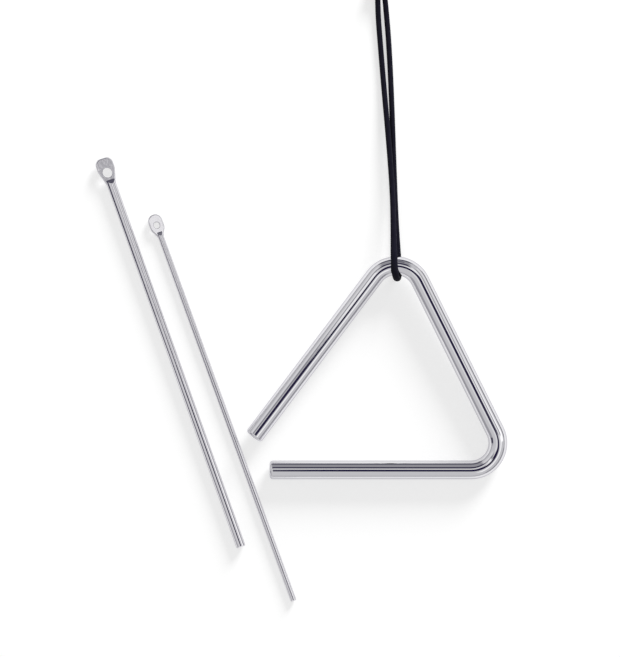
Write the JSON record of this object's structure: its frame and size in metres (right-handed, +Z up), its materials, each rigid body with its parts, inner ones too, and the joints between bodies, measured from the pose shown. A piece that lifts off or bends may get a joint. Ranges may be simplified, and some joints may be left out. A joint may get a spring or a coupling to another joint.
{
  "type": "triangle instrument",
  "caption": "Percussion triangle bent from chromed round bar, open at a corner, held by a knotted cord loop, with a thick and a thin beater whose flattened ends have eyes.",
  "frame": {"origin": "on the table that the set lies on, under the middle of the box round the bar and both beaters", "axes": "+Z up from the table, +Y from the triangle's base leg towards its top bend, +X along the base leg towards the closed corner"},
  "size_m": [0.2204, 0.3495, 0.0167],
  "materials": {
    "bar_chrome": "polished chrome plate",
    "beater_chrome": "chrome plate over drawn rod, a little duller than the bar",
    "cord": "round braided cord, matte black"
  },
  "bodies": {
    "triangle": {"triangle_bar": "bar_chrome"},
    "cord": {"cord_loop": "cord", "cord_knot": "cord"},
    "large_beater": {"large_beater": "beater_chrome"},
    "small_beater": {"small_beater": "beater_chrome"}
  },
  "joints": [
    {"name": "cord_swing", "type": "hinge", "parent": "triangle", "child": "cord", "pos_m": [0.05055, 0.06075, 0.0083], "axis": [1, 0, 0], "range_deg": [0, 175]},
    {"name": "large_beater_lift", "type": "slide", "parent": "triangle", "child": "large_beater", "axis": [0, 0, 1], "range_m": [0, 0.12]},
    {"name": "small_beater_lift", "type": "slide", "parent": "triangle", "child": "small_beater", "axis": [0, 0, 1], "range_m": [0, 0.12]}
  ]
}
